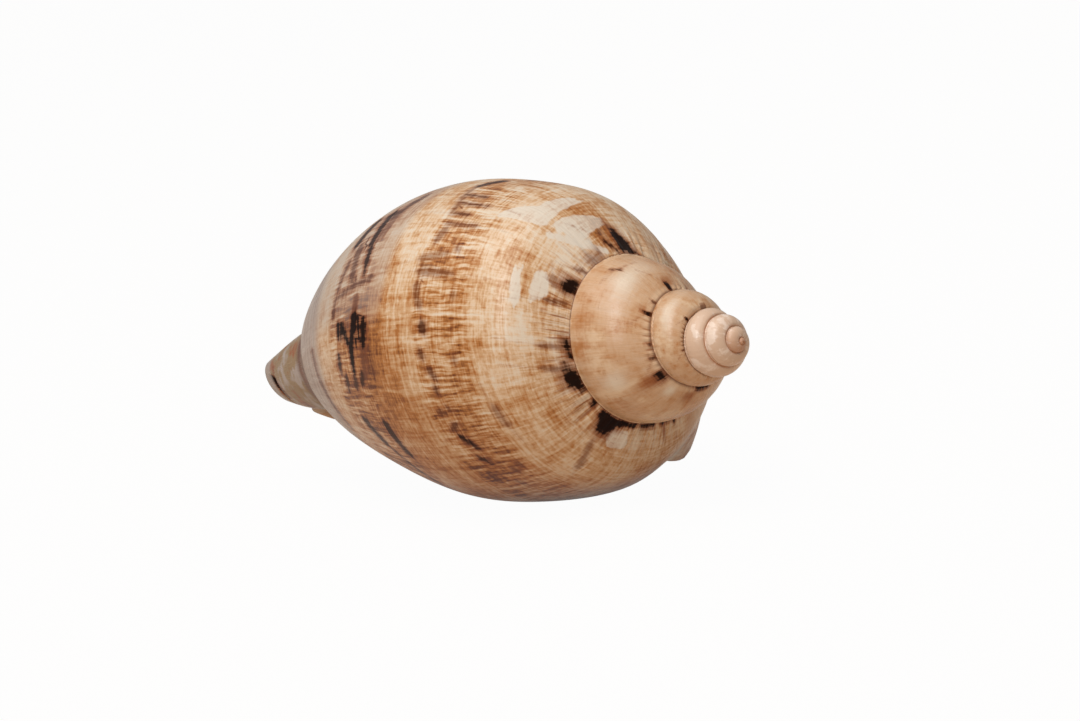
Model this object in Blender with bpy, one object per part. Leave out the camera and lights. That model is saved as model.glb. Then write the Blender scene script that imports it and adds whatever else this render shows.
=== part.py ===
"""Volute shell, lying with its opening down.

The shell grows as one wall wound round one line, its axis. Every point of it is
given by how many turns it lies back from the edge of the lip, by its distance
from the axis, and by its drop below the tip of the spire, measured along the
axis. The script lofts the outside of the shell from such sections, closes it to
a solid, and cuts the hollow out of it with a second loft that follows the same
winding. Metres, +Z up, origin on the surface it rests on.
"""
import math

import bmesh
import bpy
import numpy as np
from mathutils import Euler, Matrix

# --- driving dimensions, in metres and turns ---------------------------------
TURNS = 6.25                 # whorls from the tip of the spire to the lip
STEPS = 40                   # sections in one turn
LIP_CLOCK = 152.0            # where the lip meets the spire, clockwise from the top, degrees
LENGTH = 0.1293              # tip of the spire to the end of the canal, along the axis

# the suture, the line where each whorl meets the one before it: turns back
# from the lip, distance from the axis, drop below the tip
SUTURE = (
    (-1.00, 0.0358, 0.0590),
    (-0.50, 0.0282, 0.0419),
    (0.00, 0.0230, 0.0325),
    (0.20, 0.0196, 0.0315),
    (0.35, 0.0174, 0.0309),
    (0.50, 0.0167, 0.0301),
    (0.65, 0.0158, 0.0285),
    (1.00, 0.0129, 0.0240),
    (1.50, 0.0094, 0.0170),
    (2.00, 0.0070, 0.0119),
    (3.00, 0.0056, 0.0083),
    (4.00, 0.0040, 0.0040),
    (5.00, 0.0016, 0.0016),
    (6.30, 0.0002, 0.0004),
)
# how far a whorl bulges out between its sutures, as a share of their distance
BULGE = (
    (0.0, 0.17),
    (0.1, 0.11),
    (0.3, 0.06),
    (0.6, 0.07),
    (1.0, 0.12),
    (1.3, 0.10),
    (1.6, 0.12),
    (2.0, 0.14),
    (3.0, 0.13),
    (4.0, 0.12),
    (5.0, 0.08),
    (6.3, 0.06),
)
# the last whorl below the spire: share of the way to the canal's end, distance
# from the axis at the lip, growth in one turn, extra tuck where it rolls into
# the pillar
BODY = (
    (0.12, 0.0366, 0.35, -0.02),
    (0.28, 0.0381, 0.36, 0.10),
    (0.45, 0.0378, 0.50, 0.22),
    (0.60, 0.0340, 0.66, 0.28),
    (0.70, 0.0285, 0.78, 0.30),
    (0.77, 0.0228, 0.92, 0.30),
    (0.815, 0.0162, 0.87, 0.30),
    (0.86, 0.0126, 0.66, 0.28),
    (0.93, 0.0082, 0.34, 0.18),
)
CANAL_RADIUS = 0.0044        # round the axis at the canal's end
CANAL_FLARE = 0.0036         # extra distance of the lip at the canal's end
CANAL_SLANT = 0.0030         # the end is cut off at a slant by this much
CANAL_BEND = 0.0030          # the canal leans down to the opening's side by this much
LIP_SWEEP = 0.09             # the lip's middle lies this many turns behind its ends
WALL = 0.0022                # thickness of the outer wall
GLAZE = 0.0009               # thickness of the layer laid on the pillar side
HOLLOW_TURNS = 1.30          # how far in the hollow reaches
HOLLOW_STEPS = 36            # sections of the hollow in one turn

ACROSS_SPIRE = 7             # cells across a whorl of the spire
ACROSS_BODY = 20             # further cells down the last whorl
ACROSS_HOLLOW = 14           # points along each side of the hollow

# attitude at rest: roll about the axis and the fall of the axis, degrees
REST_ROLL = -11.7
REST_PITCH = -4.5


def natural_spline(x, y, at):
    """Values at `at` of the smooth curve through the points (x, y)."""
    x = np.asarray(x, dtype=float)
    y = np.asarray(y, dtype=float)
    count = len(x)
    table = y.reshape(count, -1)
    gap = np.diff(x)
    left = np.eye(count)
    right = np.zeros_like(table)
    for k in range(1, count - 1):
        left[k, k - 1:k + 2] = gap[k - 1], 2.0 * (gap[k - 1] + gap[k]), gap[k]
        rise = (table[k + 1] - table[k]) / gap[k] - (table[k] - table[k - 1]) / gap[k - 1]
        right[k] = 6.0 * rise
    bend = np.linalg.solve(left, right)
    at = np.asarray(at, dtype=float)
    k = np.clip(np.searchsorted(x, at) - 1, 0, count - 2)
    h = gap[k][:, None]
    a = (x[k + 1] - at)[:, None] / h
    b = 1.0 - a
    value = a * table[k] + b * table[k + 1]
    value += ((a ** 3 - a) * bend[k] + (b ** 3 - b) * bend[k + 1]) * h * h / 6.0
    return value.reshape((len(at),) + y.shape[1:])


def step(value, low, high):
    """0 below low, 1 above high, smooth between."""
    t = np.clip((np.asarray(value, dtype=float) - low) / (high - low), 0.0, 1.0)
    return t * t * (3.0 - 2.0 * t)


def clock_of(turn):
    """Direction round the axis, clockwise from the top, in radians."""
    return math.radians(LIP_CLOCK) - 2.0 * math.pi * np.asarray(turn, dtype=float)


def suture(turn):
    """Distance from the axis and drop of the suture, `turn` turns back from the lip."""
    table = np.array(SUTURE)
    at = np.clip(np.asarray(turn, dtype=float), table[0, 0], table[-1, 0])
    value = np.exp(natural_spline(table[:, 0], np.log(table[:, 1:]), at.ravel()))
    return value[:, 0].reshape(at.shape), value[:, 1].reshape(at.shape)


def canal_drop(turn):
    """Drop of the canal's end: it is cut off at a slant, shortest underneath."""
    return LENGTH + CANAL_SLANT * np.cos(clock_of(turn))


def section_knots(turn):
    """The points that each section runs through, from its suture to the canal's end."""
    r0, d0 = suture(turn)
    r1, d1 = suture(turn - 1.0)
    bulge = np.interp(turn, *np.array(BULGE).T)
    end = canal_drop(turn)
    tucked = step(turn, 0.86, 1.06)
    flare = CANAL_FLARE * np.exp(-np.maximum(turn, 0.0) / 0.10)
    radii = [r0, (r0 + r1) / 2.0 + (d1 - d0) * bulge, r1]
    drops = [d0, (d0 + d1) / 2.0 - (r1 - r0) * bulge, d1]
    for share, radius, growth, tuck in BODY:
        r = radius * np.exp(-growth * turn) * (1.0 - tuck * tucked)
        radii.append(r + flare * step(share, 0.75, 1.0))
        drops.append(d1 + (end - d1) * share)
    radii.append(CANAL_RADIUS + flare)
    drops.append(end)
    return np.stack((np.stack(radii, -1), np.stack(drops, -1)), -1)


def knot_weights(across):
    """How much each knot counts at each place across the section."""
    knots = section_knots(np.linspace(0.0, 1.0, 41))
    pace = np.sqrt(np.hypot(*np.moveaxis(np.diff(knots, axis=1), -1, 0))).mean(axis=0)
    along = np.concatenate(([0.0], np.cumsum(pace)))
    at = np.interp(across, (0.0, 1.0, 2.0), (0.0, along[2], along[-1]))
    return natural_spline(along, np.eye(len(along)), at)


def section(turn, across):
    """Distance and drop over the outside of the shell.

    `across` is 0 at the whorl's suture, 1 at the next suture and 2 at the
    canal's end. `turn` has one row for each section and one column for each
    step across. The whorls of the spire are plain arcs from suture to suture.
    """
    here = np.einsum("nmkc,mk->nmc", section_knots(turn), knot_weights(across))
    r0, d0 = suture(turn)
    r1, d1 = suture(turn - 1.0)
    share = np.clip(across, 0.0, 1.0)
    swell = 4.0 * share * (1.0 - share) * np.interp(turn, *np.array(BULGE).T)
    arc_r = r0 + (r1 - r0) * share + (d1 - d0) * swell
    arc_d = d0 + (d1 - d0) * share - (r1 - r0) * swell
    weight = step(turn, 1.0, 1.7) * (across <= 1.0)
    r = here[..., 0] + (arc_r - here[..., 0]) * weight
    drop = here[..., 1] + (arc_d - here[..., 1]) * weight
    return r, drop


def sweep_of(turn, across):
    """Turns by which a point is set back, so that the lip bows behind its ends."""
    bow = np.sin(np.clip(across / 0.6, 0.0, 1.0) * math.pi / 2.0)
    bow = bow * (1.0 - 0.6 * step(across, 1.5, 2.0))
    fade = np.clip(1.0 - np.maximum(turn, 0.0) / 0.5, 0.0, 1.0) ** 2
    return LIP_SWEEP * bow * fade


def place(turn, r, drop):
    """Points in the shell's own frame: the axis is Z, with the spire up."""
    clock = clock_of(turn)
    bend = CANAL_BEND * step(drop, 0.6 * LENGTH, 1.05 * LENGTH)
    return np.stack((r * np.sin(clock), r * np.cos(clock) - bend, -drop), axis=-1)


def outside_grid(turns, across):
    """Points over the outside, with the lip's sweep."""
    spread = turns[:, None] + sweep_of(turns[:, None], across[None, :])
    r, drop = section(spread, across)
    return place(spread, r, drop)


def add_mesh(name, points, faces, collection):
    """A closed mesh object with its faces turned outwards."""
    mesh = bpy.data.meshes.new(name)
    mesh.from_pydata([tuple(p) for p in points], [], faces)
    bm = bmesh.new()
    bm.from_mesh(mesh)
    bmesh.ops.triangulate(bm, faces=bm.faces[:])
    bmesh.ops.recalc_face_normals(bm, faces=bm.faces[:])
    bm.to_mesh(mesh)
    bm.free()
    obj = bpy.data.objects.new(name, mesh)
    collection.objects.link(obj)
    return obj


def bridge(first, second):
    """Triangles between two strings of vertices that start and end together."""
    faces = []
    a = 0
    b = 0
    while a < len(first) - 1 or b < len(second) - 1:
        ahead_a = (a + 1) / (len(first) - 1)
        ahead_b = (b + 1) / (len(second) - 1)
        if b == len(second) - 1 or (a < len(first) - 1 and ahead_a <= ahead_b):
            corner = (first[a], first[a + 1], second[b])
            a += 1
        else:
            corner = (first[a], second[b + 1], second[b])
            b += 1
        if len(set(corner)) == 3:
            faces.append(corner)
    return faces


def shell_solid(collection):
    """The outside of the shell, closed over the opening and the canal's end."""
    last = round(TURNS * STEPS)
    turns = TURNS - np.arange(last + 1) / STEPS
    spire = np.linspace(0.0, 1.0, ACROSS_SPIRE + 1)[:-1]
    body = np.linspace(1.0, 2.0, ACROSS_BODY + 1)
    upper = outside_grid(turns, spire)
    lower = outside_grid(turns[last - STEPS:], body)
    points = list(upper.reshape(-1, 3))
    offset = len(points)
    points += list(lower.reshape(-1, 3))

    def vertex(i, j):
        if j < ACROSS_SPIRE:
            return i * ACROSS_SPIRE + j
        if i + STEPS <= last and j == ACROSS_SPIRE:
            return (i + STEPS) * ACROSS_SPIRE
        return offset + (i - last + STEPS) * (ACROSS_BODY + 1) + j - ACROSS_SPIRE

    faces = []
    for i in range(last):
        columns = ACROSS_SPIRE + (ACROSS_BODY if i >= last - STEPS else 0)
        for j in range(columns):
            faces.append((vertex(i, j), vertex(i + 1, j), vertex(i + 1, j + 1), vertex(i, j + 1)))
    # the tip of the spire
    for i in range(1, STEPS - 1):
        faces.append((0, vertex(i, 0), vertex(i + 1, 0)))
    for j in range(ACROSS_SPIRE):
        faces.append((vertex(STEPS - 1, 0), vertex(0, j), vertex(0, j + 1)))
    # the opening, between the lip and the whorl behind it
    end = ACROSS_SPIRE + ACROSS_BODY
    lip = [vertex(last, j) for j in range(end + 1)]
    inner = [vertex(last - STEPS, j) for j in range(ACROSS_SPIRE, end + 1)]
    faces += bridge(lip, inner + [lip[-1]])
    # the canal's end
    rim = [vertex(i, end) for i in range(last - STEPS, last + 1)]
    points.append(np.mean([points[k] for k in rim], axis=0))
    hub = len(points) - 1
    for a, b in zip(rim, rim[1:] + rim[:1]):
        faces.append((hub, a, b))
    return add_mesh("shell", points, faces, collection)


def hollow_loop(turn):
    """One section of the hollow: along the outer wall, then back along the pillar."""
    fine = np.linspace(0.0, 2.0, 241)
    r, d = (value[0] for value in section(np.full((1, 241), turn), fine))
    slope_r = np.gradient(r)
    slope_d = np.gradient(d)
    size = np.hypot(slope_r, slope_d)
    outer_r = r - WALL * slope_d / size
    outer_d = d + WALL * slope_r / size
    fine_in = np.linspace(1.0, 2.0, 161)
    ri, di = (value[0] for value in section(np.full((1, 161), turn + 1.0), fine_in))
    slope_r = np.gradient(ri)
    slope_d = np.gradient(di)
    size = np.hypot(slope_r, slope_d)
    inner_r = ri + GLAZE * slope_d / size
    inner_d = di - GLAZE * slope_r / size
    past = LENGTH + 0.006
    drops = np.linspace(suture(turn)[1], past, 400)
    grow = np.maximum.accumulate(outer_d) + np.arange(241) * 1e-9
    out = np.interp(drops, grow, outer_r)
    mark = np.interp(drops, grow, fine)
    grow = np.maximum.accumulate(inner_d) + np.arange(161) * 1e-9
    inn = np.interp(drops, grow, inner_r)
    open_at = out - inn > 0.0008
    widest = int(np.argmax(np.where(drops < 0.10, out - inn, -1.0)))
    low = widest
    while low > 0 and open_at[low - 1]:
        low -= 1
    high = widest
    while high < len(drops) - 1 and open_at[high + 1]:
        high += 1
    share = (1.0 - np.cos(np.linspace(0.0, math.pi, ACROSS_HOLLOW))) / 2.0
    share = 0.6 * share + 0.4 * np.linspace(0.0, 1.0, ACROSS_HOLLOW)
    at = drops[low] + (drops[high] - drops[low]) * share
    sweep_out = sweep_of(turn, np.interp(at, drops, mark))
    sweep_in = sweep_out[0] * (1.0 - step(share, 0.0, 0.2)) + sweep_out[-1] * step(share, 0.8, 1.0)
    wall = place(turn + sweep_out, np.interp(at, drops, out), at)
    pillar = place(turn + sweep_in, np.interp(at, drops, inn), at)
    return np.concatenate((wall, pillar[::-1]))


def hollow_cutter(collection):
    """The hollow as a solid, from in front of the opening to deep in the shell."""
    count = round((HOLLOW_TURNS + 0.06) * HOLLOW_STEPS)
    turns = np.linspace(-0.06, HOLLOW_TURNS, count + 1)
    loops = [hollow_loop(turn) for turn in turns]
    ring = 2 * ACROSS_HOLLOW
    points = np.concatenate(loops)
    faces = []
    for i in range(count):
        for j in range(ring):
            a = i * ring + j
            b = i * ring + (j + 1) % ring
            faces.append((a, b, b + ring, a + ring))
    for base in (0, count * ring):
        for j in range(ACROSS_HOLLOW - 1):
            faces.append((base + j, base + j + 1, base + ring - 2 - j, base + ring - 1 - j))
    return add_mesh("hollow cutter", points, faces, collection)


def shell_material():
    material = bpy.data.materials.new("shell")
    material.use_nodes = True
    shader = material.node_tree.nodes["Principled BSDF"]
    shader.inputs["Base Color"].default_value = (0.62, 0.45, 0.29, 1.0)
    shader.inputs["Roughness"].default_value = 0.38
    shader.inputs["Metallic"].default_value = 0.0
    return material


def main():
    for obj in list(bpy.data.objects):
        bpy.data.objects.remove(obj, do_unlink=True)
    collection = bpy.data.collections.new("volute shell")
    cutters = bpy.data.collections.new("cutters")
    bpy.context.scene.collection.children.link(collection)
    bpy.context.scene.collection.children.link(cutters)

    shell = shell_solid(collection)
    cutter = hollow_cutter(cutters)
    # the axis along X with the spire at +X, then the attitude at rest
    lie = Matrix(((0.0, 0.0, 1.0), (1.0, 0.0, 0.0), (0.0, 1.0, 0.0))).to_4x4()
    roll = Matrix.Rotation(math.radians(REST_ROLL), 4, "X")
    pitch = Euler((0.0, math.radians(REST_PITCH), 0.0)).to_matrix().to_4x4()
    turned = pitch @ roll @ lie
    shell.data.transform(turned)
    cutter.data.transform(turned)
    xyz = np.array([v.co for v in shell.data.vertices])
    low, high = xyz.min(axis=0), xyz.max(axis=0)
    shift = Matrix.Translation((-(low[0] + high[0]) / 2.0, -(low[1] + high[1]) / 2.0, -low[2]))
    shell.data.transform(shift)
    cutter.data.transform(shift)

    cutter.hide_render = True
    cutter.display_type = "WIRE"
    cut = shell.modifiers.new("hollow", "BOOLEAN")
    cut.operation = "DIFFERENCE"
    cut.solver = "EXACT"
    cut.object = cutter

    shell.data.materials.append(shell_material())
    shell.data.shade_smooth()
    shell.data.set_sharp_from_angle(angle=math.radians(40.0))


if __name__ == "__main__":
    main()
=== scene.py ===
"""Volute shell, lying with its opening down on a pale stage.

The shell is one wall wound round one line, its axis. Every point of it is given
by how many turns it lies back from the edge of the lip (turn), and by its place
across the whorl (across: 0 at the whorl's suture, 1 at the next suture and 2 at
the end of the canal). Both together give a distance from the axis and a drop
below the tip of the spire. Metres, +Z up.
"""
import math

import bmesh
import bpy
import numpy as np
from mathutils import Matrix, Vector


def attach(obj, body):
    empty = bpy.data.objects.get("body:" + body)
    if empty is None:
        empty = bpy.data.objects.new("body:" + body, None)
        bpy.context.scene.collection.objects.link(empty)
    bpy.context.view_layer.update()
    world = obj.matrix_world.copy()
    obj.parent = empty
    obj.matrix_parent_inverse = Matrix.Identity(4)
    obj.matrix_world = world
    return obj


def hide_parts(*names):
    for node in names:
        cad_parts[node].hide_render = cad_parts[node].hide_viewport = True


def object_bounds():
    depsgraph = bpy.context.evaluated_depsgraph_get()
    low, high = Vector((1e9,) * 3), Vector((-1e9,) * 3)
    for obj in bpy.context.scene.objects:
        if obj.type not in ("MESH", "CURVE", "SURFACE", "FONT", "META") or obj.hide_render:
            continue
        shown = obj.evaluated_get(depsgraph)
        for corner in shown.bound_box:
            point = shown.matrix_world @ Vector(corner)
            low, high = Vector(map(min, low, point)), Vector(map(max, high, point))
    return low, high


bl_info = {
    "name": "Volute Shell",
    "version": (1, 0, 0),
    "blender": (4, 5, 0),
    "location": "3D View > Sidebar > Volute Shell",
    "description": "Grows a volute shell as one wall wound round its axis, and sets it on a pale stage",
    "category": "Add Mesh",
}

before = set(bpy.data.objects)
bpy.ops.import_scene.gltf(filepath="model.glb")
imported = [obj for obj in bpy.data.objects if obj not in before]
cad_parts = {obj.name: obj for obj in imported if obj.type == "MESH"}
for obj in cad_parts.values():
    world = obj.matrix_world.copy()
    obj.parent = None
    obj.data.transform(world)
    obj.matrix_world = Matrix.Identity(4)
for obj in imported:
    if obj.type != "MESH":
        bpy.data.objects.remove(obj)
CAD_BOX = [list(corner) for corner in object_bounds()]

# --- growth of the shell, in metres and turns ---
TURNS = 6.9  # whorls from the tip of the spire to the lip
LIP_CLOCK = 152  # where the lip meets the spire, clockwise from the top, degrees
LENGTH = 0.1293  # tip of the spire to the end of the canal, along the axis
# the suture: turns back from the lip, distance from the axis, drop below the tip
SUTURE = (
    (-1, 0.0358, 0.059), (-0.5, 0.0282, 0.0419), (0, 0.023, 0.0325), (0.2, 0.0196, 0.0315),
    (0.35, 0.0174, 0.0309), (0.5, 0.0167, 0.0301), (0.65, 0.0158, 0.0285), (1, 0.0129, 0.024),
    (1.5, 0.0094, 0.017), (2, 0.007, 0.0119), (3, 0.0056, 0.0083), (4, 0.004, 0.004),
    (5, 0.0016, 0.0016), (6.3, 0.0002, 0.0004),
)
# how far a whorl bulges out between its sutures, as a share of their distance
BULGE = (
    (0, 0.17), (0.1, 0.11), (0.3, 0.06), (0.6, 0.07), (1, 0.12), (1.3, 0.1), (1.6, 0.12), (2, 0.15),
    (3, 0.18), (4, 0.2), (5, 0.2), (6.3, 0.16),
)
# the last whorl below the spire: share of the way to the canal's end, distance
# from the axis at the lip, growth in one turn, extra tuck where it rolls inside
BODY = (
    (0.12, 0.0366, 0.35, -0.02), (0.28, 0.0381, 0.36, 0.1), (0.45, 0.0378, 0.5, 0.22),
    (0.6, 0.034, 0.66, 0.28), (0.7, 0.0285, 0.78, 0.3), (0.77, 0.0228, 0.92, 0.3),
    (0.815, 0.0162, 0.87, 0.3), (0.86, 0.0126, 0.66, 0.28), (0.93, 0.0082, 0.34, 0.18),
)
CANAL_RADIUS = 0.0044  # round the axis at the canal's end
CANAL_FLARE = 0.0036  # extra distance of the lip at the canal's end
FLARE_FADE = 0.1  # turns in which the flare falls to about a third
CANAL_SLANT = 0.003  # the end is cut off at a slant by this much
CANAL_BEND = 0.003  # the canal leans down to the opening's side by this much
LIP_SWEEP = 0.09  # the lip's middle lies this many turns behind its ends
REST_ROLL = -11.7  # attitude at rest: roll about the axis, degrees
REST_PITCH = -4.5  # attitude at rest: fall of the axis, degrees

# --- relief and the hollow, in metres and turns ---
WALL = 0.0021  # thickness of the outer wall
GLAZE = 0.0005  # thickness of the layer laid over the last whorl inside the opening
HOLLOW_START = 0.012  # the hollow's first section lies this far behind the lip's edge
HOLLOW_TURNS = 1.3  # how far in the hollow reaches
CANAL_RECESS = 0.0042  # the canal's inside ends this far in front of its rim
LEAST_GAP = 0.0004  # the hollow ends where its two sides are this close
# folds on the pillar: place across, height, half width across
PLAITS = ((1.5, 0.0009, 0.016), (1.57, 0.0012, 0.017), (1.645, 0.0013, 0.017), (1.72, 0.0011, 0.016))
BEADS = 46  # beads under the suture in one turn
BEAD_HEIGHT = 0.00016
WRINKLES = 64  # wrinkles on the shoulder in one turn
WRINKLE_HEIGHT = 0.00016
GROOVE = 0.09  # depth of the grooves in the spire, as a share of a whorl's drop
SLIT_DEPTH = 0.0009  # of the dark slit beside the canal
LIP_ROUNDING = 0.3  # how far the lip's edge is rounded, as a share of its thickness
# rows of the funnel in the canal's end: share of the way in, how far it stands
# out, and how much it looks like the inside
FUNNEL = ((0, 0, 0), (0.06, 0.0004, 0.1), (0.16, 0.0004, 0.3), (0.3, 0, 0.6), (0.5, 0, 0.8), (0.75, 0, 1))

# --- markings ---
TURN_LENGTH = 200  # one turn on the growth map, in millimetres
MAP_TURN = 0.6  # the growth map's height is measured this many turns behind the lip
# strokes laid over the netting: half width at the start and at the end in
# millimetres, tone (0 amber, 1 black), then the points that the stroke runs
# through, each as (turn, across). Strokes that lie side by side go into
# different sets.
STROKES_A = (
    (0.85, 0.85, 0.7, (0.48, 1.27), (0.515, 1.3)), (1.3, 0.9, 1, (0.505, 1.318), (0.55, 1.316)),
    (1.1, 0.7, 0.62, (0.548, 1.352), (0.592, 1.334)),
    (0.4, 0.4, 0.6, (0.594, 1.271), (0.599, 1.32), (0.607, 1.382), (0.627, 1.386)),
    (1.25, 0.45, 1, (0.632, 1.308), (0.645, 1.31), (0.654, 1.319), (0.672, 1.323), (0.69, 1.326)),
    (1.1, 0.9, 1, (0.639, 1.281), (0.661, 1.284)), (0.6, 0.4, 0.85, (0.67, 1.371), (0.691, 1.374)),
    (0.7, 0.6, 0.75, (0.694, 1.328), (0.706, 1.331)),
    (0.95, 0.9, 0.82, (0.745, 1.352), (0.76, 1.34), (0.775, 1.327)),
    (0.4, 0.3, 0.8, (0.782, 1.318), (0.82, 1.296), (0.84, 1.29)),
    (1, 0.8, 0.85, (0.44, 1.15), (0.465, 1.17)),
    (0.3, 0.3, 0.42, (0.475, 1.172), (0.507, 1.158), (0.522, 1.152)),
    (0.3, 0.2, 0.6, (0.503, 1.157), (0.505, 1.09)), (0.3, 0.2, 0.5, (0.535, 1.148), (0.536, 1.08)),
    (0.6, 0.4, 0.25, (0.578, 1.165), (0.572, 1.115)), (0.7, 0.2, 0.45, (0.592, 1.158), (0.594, 1.09)),
    (0.4, 0.4, 0.4, (0.605, 1.16), (0.62, 1.156)), (0.9, 0.7, 0.72, (0.645, 1.142), (0.652, 1.139)),
    (0.6, 0.4, 0.6, (0.69, 1.138), (0.699, 1.129)), (0.6, 0.5, 0.55, (0.733, 1.145), (0.735, 1.136)),
    (0.5, 0.4, 0.9, (0.762, 1.13), (0.773, 1.117)), (0.4, 0.4, 0.8, (0.789, 1.125), (0.803, 1.114)),
    (0.9, 0.5, 0.45, (0.815, 1.085), (0.822, 1.08)), (0.8, 0.6, 0.95, (0.779, 0.01), (0.789, 0.05)),
    (0.35, 0.3, 1, (0.9, 0.02), (0.932, 0.022)), (1.3, 0.9, 1, (1.432, 0.03), (1.44, 0.11)),
    (0.75, 0.65, 0.95, (1.57, 0.03), (1.576, 0.055)), (0.45, 0.4, 0.8, (1.712, 0.025), (1.716, 0.04)),
    (0.35, 0.3, 0.7, (1.525, 0.02), (1.528, 0.03)), (0.9, 0.7, 0.55, (2.41, 0.06), (2.436, 0.07)),
    (0.7, 0.6, 1, (1.925, 0.01), (1.985, 0.025)), (0.65, 0.55, 1, (2.545, 0.04), (2.553, 0.07)),
    (0.3, 0.3, 0.7, (2.7, 0.04), (2.703, 0.06)),
)
STROKES_B = (
    (1.02, 1.02, 0.5, (0.49, 1.285), (0.545, 1.3)), (1.5, 1.2, 0.95, (0.505, 1.362), (0.54, 1.374)),
    (0.5, 0.4, 0.6, (0.564, 1.368), (0.597, 1.379)), (0.8, 0.45, 1, (0.555, 1.31), (0.589, 1.298)),
    (0.55, 0.6, 0.5, (0.612, 1.308), (0.632, 1.309)), (0.5, 0.45, 0.95, (0.636, 1.364), (0.652, 1.363)),
    (0.75, 0.75, 1, (0.638, 1.35), (0.647, 1.344), (0.658, 1.33)),
    (0.6, 0.5, 0.45, (0.642, 1.3), (0.655, 1.302)), (0.65, 0.4, 0.45, (0.657, 1.284), (0.694, 1.291)),
    (0.65, 0.55, 0.75, (0.694, 1.357), (0.71, 1.363)), (0.7, 0.55, 0.8, (0.69, 1.301), (0.701, 1.308)),
    (0.85, 0.95, 0.84, (0.744, 1.287), (0.768, 1.281), (0.784, 1.276)),
    (0.3, 0.2, 0.7, (0.487, 1.165), (0.489, 1.115)), (0.3, 0.2, 0.6, (0.52, 1.152), (0.521, 1.115)),
    (0.6, 0.4, 0.42, (0.543, 1.143), (0.557, 1.148)), (0.5, 0.4, 0.5, (0.565, 1.097), (0.567, 1.094)),
    (0.6, 0.5, 0.48, (0.622, 1.152), (0.627, 1.149)), (0.5, 0.4, 0.2, (0.615, 1.08), (0.618, 1.08)),
    (0.6, 0.4, 0.6, (0.672, 1.15), (0.678, 1.147)), (0.5, 0.4, 0.6, (0.708, 1.135), (0.713, 1.134)),
    (0.5, 0.4, 0.5, (0.729, 1.126), (0.733, 1.122)), (0.6, 0.5, 0.6, (0.748, 1.124), (0.753, 1.136)),
    (0.4, 0.3, 0.35, (0.68, 1.082), (0.684, 1.082)), (0.6, 0.4, 0.8, (0.769, 1.122), (0.78, 1.112)),
    (0.6, 0.5, 0.4, (0.808, 1.065), (0.813, 1.063)), (0.5, 0.4, 0.4, (0.735, 1.03), (0.757, 1.022)),
    (0.6, 0.5, 0.4, (0.836, 1.108), (0.844, 1.102)),
    (0.35, 0.3, 0.8, (0.449, 0.2), (0.439, 0.09), (0.433, 0.03)),
    # painted shadow: this black stroke runs along the slit beside the canal's end, where the gap between the
    # ridge and the rim lies in shade
    (1, 0.7, 1, (0.64, 1.972), (0.675, 1.956), (0.7, 1.947), (0.76, 1.943), (0.785, 1.939)),
    (0.7, 0.4, 0.6, (0.655, 1.5), (0.688, 1.496), (0.711, 1.485), (0.734, 1.472), (0.77, 1.45)),
    (0.5, 0.4, 0.6, (0.526, 0.04), (0.531, 0.12)), (0.7, 0.5, 0.35, (0.566, 0.31), (0.577, 0.26)),
    (0.35, 0.3, 0.5, (0.602, 0.31), (0.596, 0.09)), (0.6, 0.3, 0.5, (0.672, 0.1), (0.668, 0.38)),
    (0.5, 0.3, 0.5, (0.706, 0.16), (0.7, 0.42)), (0.7, 0.6, 0.7, (0.752, 0.03), (0.754, 0.06)),
    (0.7, 0.35, 1, (0.857, 0.04), (0.89, 0.022)), (0.5, 0.4, 0.4, (0.832, 0.45), (0.846, 0.85)),
    (0.3, 0.3, 0.95, (0.95, 0.02), (0.976, 0.022)), (0.7, 0.4, 0.9, (0.984, 0.025), (0.986, 0.11)),
    (0.6, 0.4, 0.5, (1.35, 0.08), (1.352, 0.1)), (0.5, 0.4, 0.8, (1.502, 0.73), (1.503, 0.73)),
    (0.5, 0.4, 0.8, (1.495, 0.64), (1.496, 0.64)), (0.5, 0.4, 0.8, (1.669, 0.02), (1.672, 0.025)),
)
# blotches beside the sutures: tone, then the corners, as above
BLOTS = (
    (1, (0.421, 0.385), (0.427, 0.22), (0.43, 0.1), (0.43, 0), (0.392, 0), (0.399, 0.15),
     (0.406, 0.25)),
    (0.5, (0.472, 0.1), (0.48, 0.02), (0.502, 0.01), (0.507, 0.095), (0.498, 0.125), (0.486, 0.085)),
    (1, (0.568, 0.22), (0.555, 0.17), (0.548, 0.05), (0.555, 0), (0.574, 0.01), (0.58, 0.15)),
    (1, (0.657, 0.1), (0.656, 0.02), (0.693, 0), (0.69, 0.05), (0.672, 0.1)),
    (0.8, (0.696, 0.15), (0.697, 0.08), (0.708, 0.07), (0.709, 0.15)),
    (1, (0.704, 0.13), (0.712, 0.03), (0.737, 0), (0.75, 0.03), (0.744, 0.11), (0.736, 0.2),
     (0.721, 0.19)),
    (1, (0.808, 0.01), (0.806, 0.09), (0.816, 0.17), (0.824, 0.285), (0.842, 0.275), (0.852, 0.15),
     (0.866, 0.06), (0.864, 0)),
    (1, (1.76, 0.03), (1.764, 0.11), (1.785, 0.14), (1.8, 0.08), (1.792, 0.02)),
)
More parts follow.
